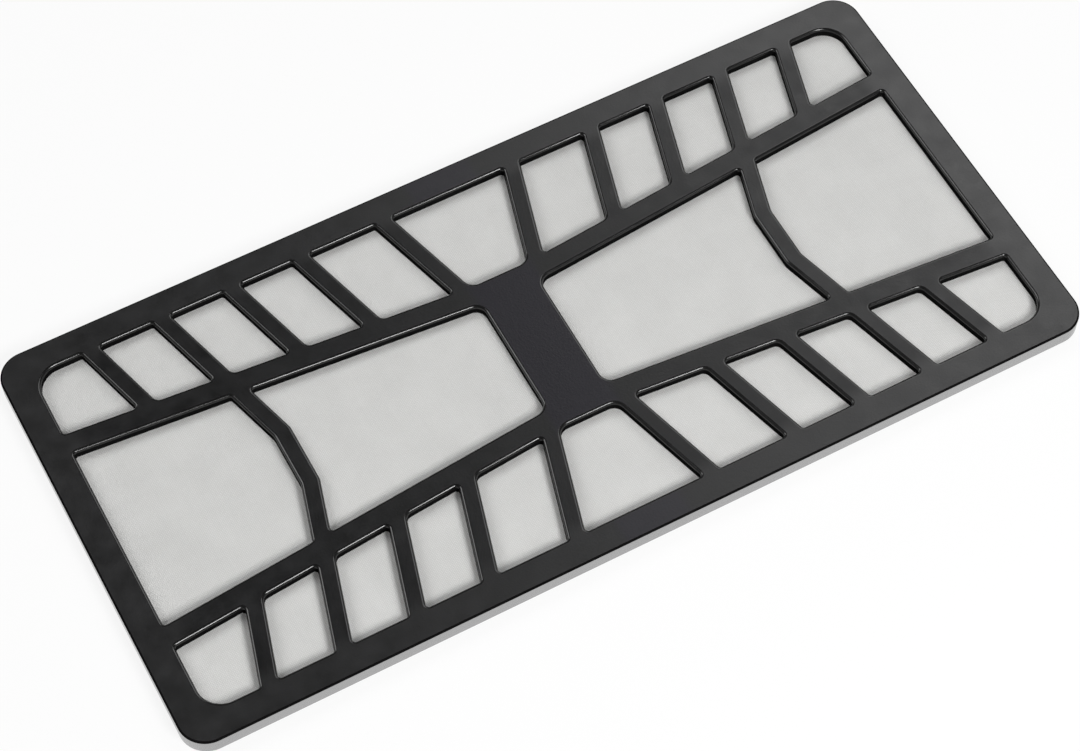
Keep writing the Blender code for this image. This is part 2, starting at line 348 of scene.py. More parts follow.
def moulding_tree() -> Tree:
    """Tree that makes the whole moulding out of its outlines.

    Walls are swept along the border, the windows, the mesh pocket and the magnet grooves. Flat levels
    then close them at the finished face, the pocket's floor, the grooves' floors and the rear face.

    Returns:
        The tree. Its input geometry is the border's outline.
    """
    graph, given, result = new_group(
        "moulded_frame", "Geometry",
        {
            "Geometry": ["Border"],
            "Object": ["Windows", "Mesh Pocket", "Magnet Grooves"],
            "Float": ["Thickness", "Pocket Depth", "Groove Depth", "Border Edge Round",
                      "Window Edge Round"],
            "Int": ["Edge Points"],
            "Material": [zone.value for zone in Zone],
        },
        {"Geometry": ["Geometry"]},
    )
    wall_tree = wall_group()
    level_tree = level_group()
    joined = graph.add("GeometryNodeJoinGeometry")

    def outline_of(socket_name: str) -> Socket:
        """Geometry of the object in an input socket."""
        return graph.add("GeometryNodeObjectInfo", {"Object": given[socket_name]}).outputs["Geometry"]

    def marked(geometry: Socket, zone: Zone) -> Socket:
        """Geometry with its faces marked as part of a zone."""
        store = graph.add("GeometryNodeStoreNamedAttribute", {
            "Geometry": geometry, "Name": zone.value, "Value": True}, data_type="BOOLEAN", domain="FACE")
        return store.outputs[0]

    def sweep(outlines: Socket, bottom: object, top: Socket, edge_round: Socket | None = None,
              wall_zone: Zone = Zone.WALLS, edge_zone: Zone = Zone.WALLS) -> None:
        """Add the walls along outlines.

        Args:
            outlines: The outlines, as curves.
            bottom: Height of the walls' foot.
            top: Height of the walls' top.
            edge_round: Radius of the rounded top edge, where there is one.
            wall_zone: Zone of the walls.
            edge_zone: Zone of the rounded edge.
        """
        walls = graph.add("GeometryNodeGroup", {
            "Outlines": outlines, "Bottom": bottom, "Top": top, "Edge Round": edge_round or 0.0,
            "Edge Points": given["Edge Points"]}, node_tree=wall_tree)
        graph.feed(joined.inputs[0], marked(walls.outputs["Wall"], wall_zone))
        if edge_round:
            graph.feed(joined.inputs[0], marked(walls.outputs["Edge"], edge_zone))

    sweep(given["Border"], 0.0, given["Thickness"], given["Border Edge Round"], Zone.OUTER_WALL)
    sweep(outline_of("Windows"), given["Pocket Depth"], given["Thickness"], given["Window Edge Round"],
          edge_zone=Zone.WINDOW_EDGE)
    sweep(outline_of("Mesh Pocket"), 0.0, given["Pocket Depth"])
    sweep(outline_of("Magnet Grooves"), 0.0, given["Groove Depth"])

    whole = graph.add("GeometryNodeJoinGeometry")
    graph.feed(whole.inputs[0], joined)
    for height, zone in ((given["Thickness"], Zone.FINISHED_FACE), (given["Pocket Depth"], Zone.WALLS),
                         (given["Groove Depth"], Zone.WALLS), (0.0, Zone.WALLS)):
        level = graph.add("GeometryNodeGroup", {"Walls": joined, "Height": height}, node_tree=level_tree)
        graph.feed(whole.inputs[0], marked(level.outputs[0], zone))
    merged = graph.add("GeometryNodeMergeByDistance", {"Geometry": whole, "Distance": LEVEL_TOLERANCE})
    dressed = graph.add("GeometryNodeRealizeInstances", {"Geometry": merged})
    for zone in Zone:
        mark = graph.add("GeometryNodeInputNamedAttribute", {"Name": zone.value}, data_type="BOOLEAN")
        dressed = graph.add("GeometryNodeSetMaterial", {
            "Geometry": dressed, "Selection": mark.outputs["Attribute"], "Material": given[zone.value]})
    graph.feed(result[0], dressed)
    return graph.tree


def thread_layer_group() -> Tree:
    """Group for one layer of parallel threads, trimmed to a rectangle with round corners.

    Returns:
        The group. Its threads run along Y, spaced along X, before Turn turns them about Z.
    """
    graph, given, result = new_group(
        "thread_layer", "Geometry",
        {"Float": ["Width", "Length", "Height", "Turn", *THREAD_LENGTHS], "Int": ["Sides", "Seed"]},
        {"Geometry": ["Threads"]},
    )
    half_width = graph.math("DIVIDE", given["Width"], 2.0)
    steps = graph.math("FLOOR", graph.math("DIVIDE", given["Width"], given["Spacing"]))
    half_step_back = graph.math("MULTIPLY", given["Spacing"], -0.5)
    first = graph.math("MULTIPLY", graph.math("SUBTRACT", steps, 1.0), half_step_back)
    places = graph.add("GeometryNodeMeshLine", {
        "Count": steps, "Start Location": graph.vector(X=first),
        "Offset": graph.vector(X=given["Spacing"])})

    straight = graph.math("SUBTRACT", half_width, given["Corner Radius"])
    past_straight = graph.math("SUBTRACT", graph.math("ABSOLUTE", graph.position("X")), straight)
    into_corner = graph.math("MAXIMUM", past_straight, 0.0)
    radius_squared = graph.math("POWER", given["Corner Radius"], 2.0)
    rise_squared = graph.math("SUBTRACT", radius_squared, graph.math("POWER", into_corner, 2.0))
    lost = graph.math("SUBTRACT", given["Corner Radius"], graph.math("SQRT", rise_squared))
    reach = graph.math("SUBTRACT", given["Length"], graph.math("MULTIPLY", lost, 2.0))

    bar = graph.add("GeometryNodeMeshCylinder", {"Vertices": given["Sides"], "Radius": 0.5, "Depth": 1.0})
    laid = graph.add("GeometryNodeTransform", {
        "Geometry": bar.outputs["Mesh"], "Rotation": (QUARTER_TURN, 0.0, 0.0)})
    size = graph.vector(X=given["Thread Width"], Y=reach, Z=given["Thread Height"])
    threads = graph.add("GeometryNodeInstanceOnPoints", {"Points": places, "Instance": laid, "Scale": size})
    tone = graph.add("FunctionNodeRandomValue", {"Seed": given["Seed"]}, data_type="FLOAT")
    toned = graph.add("GeometryNodeStoreNamedAttribute", {
        "Geometry": threads, "Name": THREAD_TONE, "Value": tone.outputs[1]},
        data_type="FLOAT", domain="INSTANCE")
    realized = graph.add("GeometryNodeRealizeInstances", {"Geometry": toned})
    placed = graph.add("GeometryNodeTransform", {
        "Geometry": realized, "Translation": graph.vector(Z=given["Height"]),
        "Rotation": graph.vector(Z=given["Turn"])})
    graph.feed(result[0], placed)
    return graph.tree


# Shader group and finishes

def grain_group() -> Tree:
    """Shader group for the fine relief and the soft blotches of a moulded or drawn surface.

    Returns:
        The group. Relief and Mottle run from 0 to 1.
    """
    cells_per_grain = 0.8
    cell_share = 0.5
    mottle_low, mottle_high = 0.3, 0.7
    graph, given, result = new_group(
        "surface_grain", "Shader", {"Vector": ["Vector"], "Float": ["Grain Size", "Mottle Size"]},
        {"Float": ["Relief", "Mottle"]})
    fine = graph.add("ShaderNodeTexNoise", {
        "Vector": given["Vector"], "Scale": graph.math("DIVIDE", 1.0, given["Grain Size"]),
        "Detail": 2.0, "Roughness": 0.6})
    cells = graph.add("ShaderNodeTexVoronoi", {
        "Vector": given["Vector"], "Scale": graph.math("DIVIDE", cells_per_grain, given["Grain Size"])},
        feature="SMOOTH_F1")
    fine_part = graph.math("MULTIPLY", fine, 1.0 - cell_share)
    relief = graph.math("MULTIPLY_ADD", cells.outputs["Distance"], cell_share, fine_part)
    broad = graph.add("ShaderNodeTexNoise", {
        "Vector": given["Vector"], "Scale": graph.math("DIVIDE", 1.0, given["Mottle Size"]),
        "Detail": 5.0, "Roughness": 0.62})
    graph.feed(result["Relief"], relief)
    graph.feed(result["Mottle"], graph.fade(broad, mottle_low, mottle_high))
    return graph.tree


def new_material(name: str) -> tuple[bpy.types.Material, NodeGraph, bpy.types.Node]:
    """Make an empty Principled material.

    Args:
        name: The material's name.

    Returns:
        The material, its graph and its Principled node.
    """
    material = bpy.data.materials.new(name)
    material.use_nodes = True
    graph = NodeGraph(material.node_tree)
    return material, graph, material.node_tree.nodes["Principled BSDF"]


def mixed(graph: NodeGraph, factor: object, first: object, second: object,
          blend: str = "MIX") -> Socket:
    """Mix two colours.

    Args:
        graph: The graph to add to.
        factor: Share of the second colour.
        first: A colour or a socket.
        second: A colour or a socket.
        blend: The way that they are mixed.

    Returns:
        The mixed colour.
    """
    node = graph.add("ShaderNodeMix", data_type="RGBA", blend_type=blend)
    for index, value in zip(MIX_INPUTS, (factor, first, second)):
        graph.feed(node.inputs[index], (*value, 1.0) if isinstance(value, tuple) else value)
    return node.outputs[MIX_RESULT]


def grained(graph: NodeGraph, grain: Tree, grain_size: float,
            mottle_size: float) -> tuple[Socket, bpy.types.NodeOutputs]:
    """Add the surface's grain.

    Args:
        graph: The graph to add to.
        grain: The shader group of the grain.
        grain_size: Size of the fine grain.
        mottle_size: Size of the soft blotches.

    Returns:
        The object coordinates, and the grain's Relief and Mottle.
    """
    place = graph.add("ShaderNodeTexCoord").outputs["Object"]
    node = graph.add("ShaderNodeGroup", {
        "Vector": place, "Grain Size": grain_size, "Mottle Size": mottle_size}, node_tree=grain)
    return place, node.outputs


def add_relief(graph: NodeGraph, shader: bpy.types.Node, height: Socket, strength: float,
               depth: float) -> None:
    """Raise a fine relief, whose height runs from 0 to 1 over this depth, on a Principled surface."""
    bump = graph.add("ShaderNodeBump", {"Height": height, "Strength": strength, "Distance": depth})
    graph.feed(shader.inputs["Normal"], bump)


@dataclass(frozen=True)
class MouldedPlastic:
    """Black moulded plastic in one of its surface finishes."""

    name: str
    grain: Tree
    dark: Colour
    light: Colour
    roughness: float
    specular: float
    coat: float = 0.0
    coat_ior: float = 1.5
    coat_roughness: float = 0.1
    grain_size: float = 0.45 * MM
    mottle_size: float = 9.0 * MM
    relief_depth: float = 0.03 * MM
    relief_strength: float = 0.35
    mottle_strength: float = 0.08
    border_coat: float = 0.0
    border_start: Point = (120.0 * MM, 54.0 * MM)
    border_blend: float = 5.0 * MM
    spine_tint: Colour = (0.0, 0.0, 0.0)
    spine_core: float = 7.7 * MM
    spine_reach: float = 11.0 * MM

    def border_share(self, graph: NodeGraph, place: Socket) -> Socket:
        """Add a value that rises from 0 on the ribs to 1 on the border.

        Args:
            graph: The graph to add to.
            place: Object coordinates.

        Returns:
            The share of the border's own sheen.
        """
        axes = graph.axes(place)
        past = [graph.math("SUBTRACT", graph.math("ABSOLUTE", axes[axis]), start)
                for axis, start in zip("XY", self.border_start)]
        return graph.fade(graph.math("MAXIMUM", *past), -self.border_blend, 0.0,
                          interpolation_type="SMOOTHSTEP")

    def spine_share(self, graph: NodeGraph, place: Socket) -> Socket:
        """Add a value that falls from 1 along the spine's middle to 0 at its reach to either side."""
        aside = graph.math("ABSOLUTE", graph.axes(place)["X"])
        return graph.fade(aside, self.spine_reach, self.spine_core, interpolation_type="SMOOTHSTEP")

    def material(self) -> bpy.types.Material:
        """Build the material.

        Returns:
            The material.
        """
        material, graph, shader = new_material(self.name)
        place, grain = grained(graph, self.grain, self.grain_size, self.mottle_size)
        tone = mixed(graph, grain["Mottle"], self.dark, self.light)
        if any(self.spine_tint):
            tone = mixed(graph, self.spine_share(graph, place), tone, self.spine_tint, "ADD")
        coat = self.coat
        if self.border_coat:
            coat = graph.math("MULTIPLY", self.border_share(graph, place), self.border_coat)
        smoothest = self.roughness - self.mottle_strength / 2
        looks = {
            "Base Color": tone,
            "Roughness": graph.math("MULTIPLY_ADD", grain["Mottle"], self.mottle_strength, smoothest),
            "Specular IOR Level": self.specular,
            "Coat Weight": coat,
            "Coat IOR": self.coat_ior,
            "Coat Roughness": self.coat_roughness,
        }
        for socket_name, value in looks.items():
            graph.feed(shader.inputs[socket_name], value)
        add_relief(graph, shader, grain["Relief"], self.relief_strength, self.relief_depth)
        return material


def plastic_finishes(grain: Tree) -> dict[Zone, MouldedPlastic]:
    """Surface finishes of the moulding, by the part of it that has them.

    Args:
        grain: The shader group of the grain.

    Returns:
        A finish for each zone.
    """
    inner_tones = {"dark": (0.004, 0.004, 0.004), "light": (0.008, 0.008, 0.008)}
    return {
        Zone.WALLS: MouldedPlastic(
            "black_plastic_wall", grain, **inner_tones, roughness=0.6, specular=0.0),
        Zone.WINDOW_EDGE: MouldedPlastic(
            "black_plastic_edge", grain, **inner_tones, roughness=0.22, specular=0.5,
            relief_strength=0.1),
        Zone.OUTER_WALL: MouldedPlastic(
            "black_plastic_rim", grain, dark=(0.006, 0.006, 0.006), light=(0.010, 0.010, 0.010),
            roughness=0.4, specular=0.5, coat=1.0, coat_ior=4.0, relief_strength=0.05),
        Zone.FINISHED_FACE: MouldedPlastic(
            "black_plastic_face", grain, dark=(0.0002, 0.0002, 0.0004), light=(0.004, 0.004, 0.0046),
            roughness=0.385, specular=0.45, coat_roughness=0.385, mottle_size=6.0 * MM,
            relief_strength=1.0, mottle_strength=0.12, border_coat=0.4, spine_tint=(0.001, 0.0, 0.004)),
    }


@dataclass(frozen=True)
class WovenThread:
    """Light grey synthetic thread, toned a little from thread to thread, with a crimp at each crossing that
    is also painted into its colour as shade: lighter on the crossings' tops, darker in the dips.
    """

    grain: Tree
    spacing: float
    dark: Colour = (0.59, 0.59, 0.577)
    light: Colour = (0.70, 0.70, 0.686)
    grain_size: float = 0.3 * MM
    mottle_size: float = 14.0 * MM
    mottle_share: float = 0.5
    thread_share: float = 0.12
    crimp_shade_share: float = 0.3
    roughness: float = 0.6
    roughness_range: float = 0.1
    crimp_depth: float = 0.03 * MM
    crimp_strength: float = 0.3

    def material(self) -> bpy.types.Material:
        """Build the material.

        Returns:
            The material.
        """
        material, graph, shader = new_material("light_woven_thread")
        place, grain = grained(graph, self.grain, self.grain_size, self.mottle_size)
        axes = graph.axes(place)
        waves = [graph.math("SINE", graph.math("MULTIPLY", axes[axis], math.pi / self.spacing))
                 for axis in "XY"]
        crimp = graph.math("MULTIPLY_ADD", graph.math("MULTIPLY", *waves), 0.5, 0.5)
        tone = graph.add("ShaderNodeAttribute", attribute_name=THREAD_TONE).outputs["Fac"]
        toned = graph.math("MULTIPLY", tone, self.thread_share)
        blotch = graph.math("MULTIPLY_ADD", grain["Mottle"], self.mottle_share, toned)
        # painted shade: the crimp's height lightens the colour on the crossings' tops and darkens it in the
        # dips
        share = graph.math("MULTIPLY_ADD", crimp, self.crimp_shade_share, blotch)
        graph.feed(shader.inputs["Base Color"], mixed(graph, share, self.dark, self.light))
        rough = graph.math("MULTIPLY_ADD", tone, self.roughness_range, self.roughness)
        graph.feed(shader.inputs["Roughness"], rough)
        add_relief(graph, shader, crimp, self.crimp_strength, self.crimp_depth)
        return material


@dataclass(frozen=True)
class FlexibleMagnet:
    """Dark, matt, bonded ferrite with a fine grain."""

    grain: Tree
    dark: Colour = (0.035, 0.031, 0.028)
    light: Colour = (0.065, 0.057, 0.050)
    grain_size: float = 0.25 * MM
    mottle_size: float = 6.0 * MM
    roughness: float = 0.68
    roughness_range: float = 0.12
    relief_depth: float = 0.03 * MM
    relief_strength: float = 0.5

    def material(self) -> bpy.types.Material:
        """Build the material.

        Returns:
            The material.
        """
        material, graph, shader = new_material("flexible_magnet")
        _, grain = grained(graph, self.grain, self.grain_size, self.mottle_size)
        graph.feed(shader.inputs["Base Color"], mixed(graph, grain["Mottle"], self.dark, self.light))
        rough = graph.math("MULTIPLY_ADD", grain["Mottle"], self.roughness_range, self.roughness)
        graph.feed(shader.inputs["Roughness"], rough)
        add_relief(graph, shader, grain["Relief"], self.relief_strength, self.relief_depth)
        return material


# Sub-assemblies

@dataclass
class BorderSection:
    """What stands side by side in the border, from its outer edge inwards."""

    edge_wall: float = 1.2 * MM
    groove_width: float = 3.6 * MM
    groove_depth: float = 1.9 * MM
    side_land: float = 1.4 * MM
    end_land: float = 1.75 * MM
    mesh_overlap: float = 1.8 * MM
    fit_gap: float = 0.3 * MM
    strip_end_space: float = 12.0 * MM

    def field(self, length: float, width: float) -> Vector:
        """Half the size, along X and Y, of the field that the windows of a frame this large share."""
        shared = self.edge_wall + self.groove_width + self.mesh_overlap
        return Vector((length / 2 - shared - self.end_land, width / 2 - shared - self.side_land))


@dataclass
class FrameMoulding:
    """The black frame: border, long ribs, leaning ribs, spine and dividers in one moulding."""

    length: float
    width: float
    thickness: float
    section: BorderSection = field(default_factory=BorderSection)
    corner_radius: float = 7.6 * MM
    border_edge_round: float = 0.5 * MM
    window_edge_round: float = 0.8 * MM
    edge_points: int = 5
    pocket_depth: float = 2.1 * MM
    long_rib_width: float = 6.4 * MM
    long_rib_slope: float = math.radians(4.9)
    edge_row_depth: float = 19.9 * MM
    cross_rib_width: float = 4.9 * MM
    cross_rib_lean: float = math.radians(16.0)
    first_rib_offset: float = 19.4 * MM
    first_rib_spacing: float = 24.5 * MM
    rib_spacing: float = 20.2 * MM
    last_rib_clearance: float = 12.0 * MM
    spine_width: float = 17.1 * MM
    spine_end_overhang: float = 0.7 * MM
    divider_offset: float = 71.1 * MM
    divider_width: float = 5.0 * MM
    divider_lean: float = math.radians(16.0)
    divider_straight: float = 16.4 * MM
    sharp_radius: float = 0.8 * MM
    foot_radius: float = 2.0 * MM
    spine_radius: float = 3.2 * MM
    bend_radius: float = 4.0 * MM
    end_radius: float = 6.6 * MM

    def __post_init__(self) -> None:
        """Work out the lines that the windows' outlines are cut from, where X and Y are positive."""
        half = self.section.field(self.length, self.width)
        self.field_half = half
        self.middle_line = line((0.0, 0.0), QUARTER_TURN)
        self.side_line = line((0.0, half.y), 0.0)
        self.end_line = line((half.x, 0.0), QUARTER_TURN)
        self.spine_line = line((self.spine_width / 2, 0.0), QUARTER_TURN)
        self.rib_outer = line((half.x, half.y - self.edge_row_depth), self.long_rib_slope)
        self.rib_inner = shifted(self.rib_outer, -self.long_rib_width)

    def cross_rib(self, offset: float) -> tuple[Line, Line]:
        """Find the edges of a leaning rib.

        Args:
            offset: Its distance from the middle, where it meets the side.

        Returns:
            Its edges, the one nearer to the middle first.
        """
        centre_line = line((offset, self.field_half.y), QUARTER_TURN - self.cross_rib_lean)
        half_width = self.cross_rib_width / 2
        return shifted(centre_line, half_width), shifted(centre_line, -half_width)

    def rib_offsets(self) -> list[float]:
        """Place the leaning ribs.

        Returns:
            Their distances from the middle, outwards.
        """
        second = self.first_rib_offset + self.first_rib_spacing
        room = self.field_half.x - self.last_rib_clearance - second
        steps = range(int(room / self.rib_spacing) + 1)
        return [self.first_rib_offset] + [second + self.rib_spacing * step for step in steps]

    def edge_row(self) -> list[Outline]:
        """Draw one quarter's edge row.

        Returns:
            Its windows, without the one at the spine's end.
        """
        ribs = [self.cross_rib(offset) for offset in self.rib_offsets()]
        spans = [(near[1], far[0], self.sharp_radius, self.foot_radius)
                 for near, far in zip(ribs, ribs[1:])]
        spans.append((ribs[-1][1], self.end_line, self.end_radius, self.sharp_radius))
        return [[
            (crossing(far, self.side_line), far_radius),
            (crossing(near, self.side_line), self.sharp_radius),
            (crossing(near, self.rib_outer), self.sharp_radius),
            (crossing(far, self.rib_outer), foot_radius),
        ] for near, far, far_radius, foot_radius in spans]

    def middle_edge_window(self) -> Outline:
        """Draw the edge row's middle window.

        Returns:
            The window at the spine's end.
        """
        rib_side = self.cross_rib(self.first_rib_offset)[0]
        ribs_meet = line(crossing(self.rib_outer, self.middle_line), 0.0)
        spine_end = shifted(ribs_meet, self.spine_end_overhang)
        right_half = [
            (crossing(rib_side, spine_end), self.spine_radius),
            (crossing(rib_side, self.side_line), self.sharp_radius),
        ]
        return right_half + mirrored(right_half, REVERSE_X)

    def middle_row(self) -> list[Outline]:
        """Draw the middle row where X is positive.

        Returns:
            Its two windows, on both sides of the bent divider.
        """
        straight = line((self.divider_offset, 0.0), QUARTER_TURN)
        bend = (self.divider_offset, self.divider_straight / 2)
        leaning = line(bend, QUARTER_TURN - self.divider_lean)
        (near_straight, near_leaning), (far_straight, far_leaning) = (
            (shifted(straight, distance), shifted(leaning, distance))
            for distance in (self.divider_width / 2, -self.divider_width / 2))
        inner_top = [
            (crossing(near_straight, near_leaning), self.bend_radius),
            (crossing(near_leaning, self.rib_inner), self.sharp_radius),
            (crossing(self.spine_line, self.rib_inner), self.spine_radius),
        ]
        outer_top = [
            (crossing(self.end_line, self.rib_inner), self.sharp_radius),
            (crossing(far_leaning, self.rib_inner), self.sharp_radius),
            (crossing(far_straight, far_leaning), self.bend_radius),
        ]
        return [half + mirrored(half, REVERSE_Y) for half in (inner_top, outer_top)]

    def windows(self) -> list[Outline]:
        """Draw every window.

        Returns:
            Their outlines, clockwise, so that the plastic is on their left.
        """
        quarter = self.edge_row()
        far_row = quarter + [mirrored(window, REVERSE_X) for window in quarter]
        far_row.append(self.middle_edge_window())
        near_row = [mirrored(window, REVERSE_Y) for window in far_row]
        right = self.middle_row()
        left = [mirrored(window, REVERSE_X) for window in right]
        return [window[::-1] for window in far_row + near_row + right + left]

    def pocket(self) -> Outline:
        """Outline of the mesh pocket, clockwise."""
        half, overlap = self.field_half, self.section.mesh_overlap
        return rectangle(half.x + overlap, half.y + overlap, self.end_radius + overlap)[::-1]

    def grooves(self, strips: list["MagnetStrip"]) -> list[Outline]:
        """Outlines of the magnet grooves, clockwise, one around each strip."""
        return [strip.outline(self.section.fit_gap)[::-1] for strip in strips]

    def build(self, strips: list["MagnetStrip"], finishes: dict[Zone, MouldedPlastic]) -> Thing:
        """Make the moulding.

        Args:
            strips: The strips that its grooves are cut for.
            finishes: The finish of each zone.

        Returns:
            The finished piece.
        """
        border = outline_curve("border_outline", [
            rectangle(self.length / 2, self.width / 2, self.corner_radius)])
        guides = {
            "Windows": outline_curve("window_outlines", self.windows()),
            "Mesh Pocket": outline_curve("pocket_outline", [self.pocket()]),
            "Magnet Grooves": outline_curve("groove_outlines", self.grooves(strips)),
        }
        piece = run_tree(border, moulding_tree(), {
            **guides,
            "Thickness": self.thickness,
            "Pocket Depth": self.pocket_depth,
            "Groove Depth": self.section.groove_depth,
            "Border Edge Round": self.border_edge_round,
            "Window Edge Round": self.window_edge_round,
            "Edge Points": self.edge_points,
            **{zone.value: finish.material() for zone, finish in finishes.items()},
        }, "frame_moulding")
        for guide in guides.values():
            bpy.data.objects.remove(guide, do_unlink=True)
        finish_faces(piece)
        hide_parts("frame")
        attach(piece, BODY)
        return piece


def finish_faces(piece: Thing, sharp_angle: float = math.radians(40.0)) -> None:
    """Turn faces outwards and shade them smooth, with level faces flat right up to their edges.

    Args:
        piece: The piece to finish.
        sharp_angle: Edges that bend more than this stay sharp.
    """
    mesh = piece.data
    bm = bmesh.new()
    bm.from_mesh(mesh)
    bmesh.ops.recalc_face_normals(bm, faces=bm.faces)
    open_edges = sum(not edge.is_manifold for edge in bm.edges)
    bm.to_mesh(mesh)
    bm.free()
    mesh.shade_smooth()
    mesh.set_sharp_from_angle(angle=sharp_angle)

    level = {}
    for polygon in mesh.polygons:
        if abs(polygon.normal.z) > LEVEL_SHARE:
            level.update(dict.fromkeys(polygon.vertices, polygon.normal.copy()))
    normals = [corner.vector.copy() for corner in mesh.corner_normals]
    for loop in mesh.loops:
        flat = level.get(loop.vertex_index)
        if flat and normals[loop.index].angle(flat) < sharp_angle:
            normals[loop.index] = flat
    mesh.normals_split_custom_set(normals)
    log.info("%s: %d faces, %d open edges", piece.name, len(mesh.polygons), open_edges)


@dataclass
class MagnetStrip:
    """One flexible magnet strip, flush with the rear face."""

    name: str
    half_x: float
    half_y: float
    centre: Point
    thickness: float = 1.6 * MM
    corner_radius: float = 0.6 * MM
    corner_segments: int = 4
    edge_width: float = 0.15 * MM
    edge_segments: int = 2

    def outline(self, space: float = 0.0) -> Outline:
        """Outline of the strip, anticlockwise, with space around it."""
        return rectangle(self.half_x + space, self.half_y + space, self.corner_radius + space, self.centre)

    def bevel(self, bm: bmesh.types.BMesh, upright: bool, offset: float, segments: int) -> None:
        """Round some of the strip's edges.

        Args:
            bm: The strip.
            upright: Whether the upright edges are rounded, or the level ones.
            offset: Width of the rounding.
            segments: Number of faces across it.
        """
        rises = {edge: abs(edge.verts[0].co.z - edge.verts[1].co.z) for edge in bm.edges}
        chosen = [edge for edge, rise in rises.items()
                  if (rise > self.thickness / 2 if upright else rise < LEVEL_TOLERANCE)]
        bmesh.ops.bevel(bm, geom=chosen, offset=offset, segments=segments, profile=0.5, affect="EDGES")

    def build(self, magnet: bpy.types.Material) -> Thing:
        """Make the strip.

        Args:
            magnet: Its material.

        Returns:
            The finished piece.
        """
        bm = bmesh.new()
        bmesh.ops.create_cube(bm, size=1.0)
        scale = Matrix.Diagonal((2 * self.half_x, 2 * self.half_y, self.thickness, 1.0))
        place = Matrix.Translation((*self.centre, self.thickness / 2))
        bmesh.ops.transform(bm, matrix=place @ scale, verts=bm.verts)
        self.bevel(bm, True, self.corner_radius, self.corner_segments)
        self.bevel(bm, False, self.edge_width, self.edge_segments)
        mesh = bpy.data.meshes.new(self.name)
        bm.to_mesh(mesh)
        bm.free()
        piece = link_object(f"{self.name}_body", mesh)
        mesh.materials.append(magnet)
        finish_faces(piece)
        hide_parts(self.name)
        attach(piece, BODY)
        return piece


@dataclass
class FilterMesh:
    """The woven mesh: two crossed layers of fine thread, trimmed to the pocket's outline."""

    width: float
    length: float
    top: float
    corner_radius: float
    spacing: float = 0.45 * MM
    thread_width: float = 0.33 * MM
    thread_height: float = 0.09 * MM
    sides: int = 6
    sharp_angle: float = math.radians(70.0)

    def tree(self) -> Tree:
        """Make the tree that lays one layer of threads on the other.

        Returns:
            The tree. Its input geometry isn't used.
        """
        graph, given, result = new_group(
            "woven_mesh", "Geometry",
            {
                "Geometry": ["Geometry"],
                "Float": ["Sheet Length", "Sheet Width", "Top", *THREAD_LENGTHS],
                "Int": ["Sides"],
                "Material": ["Material"],
            },
            {"Geometry": ["Geometry"]},
        )
        layer_tree = thread_layer_group()
        joined = graph.add("GeometryNodeJoinGeometry")
        half_thread = graph.math("DIVIDE", given["Thread Height"], 2.0)
        upper = graph.math("SUBTRACT", given["Top"], half_thread)
        lower = graph.math("SUBTRACT", upper, given["Thread Height"])
        layers = (
            (Direction.ALONG, given["Sheet Width"], given["Sheet Length"], lower),
            (Direction.ACROSS, given["Sheet Length"], given["Sheet Width"], upper),
        )
        for seed, (direction, spread, reach, height) in enumerate(layers, start=1):
            layer = graph.add("GeometryNodeGroup", {
                "Width": spread, "Length": reach, "Height": height, "Turn": direction.value, "Seed": seed,
                **{shared: given[shared] for shared in (*THREAD_LENGTHS, "Sides")}}, node_tree=layer_tree)
            graph.feed(joined.inputs[0], layer)
        realized = graph.add("GeometryNodeRealizeInstances", {"Geometry": joined})
        dressed = graph.add("GeometryNodeSetMaterial", {"Geometry": realized, "Material": given["Material"]})
        graph.feed(result[0], dressed)
        return graph.tree

    def build(self, thread: bpy.types.Material) -> Thing:
        """Make the mesh.

        Args:
            thread: Its material.

        Returns:
            The finished piece.
        """
        host = link_object("mesh_host", bpy.data.meshes.new("mesh_host"))
        piece = run_tree(host, self.tree(), {
            "Sheet Length": self.length,
            "Sheet Width": self.width,
            "Corner Radius": self.corner_radius,
            "Spacing": self.spacing,
            "Thread Width": self.thread_width,
            "Thread Height": self.thread_height,
            "Top": self.top,
            "Sides": self.sides,
            "Material": thread,
        }, "woven_filter_mesh")
        finish_faces(piece, self.sharp_angle)
        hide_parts("filter_mesh")
        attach(piece, BODY)
        return piece


# Stage, light and camera

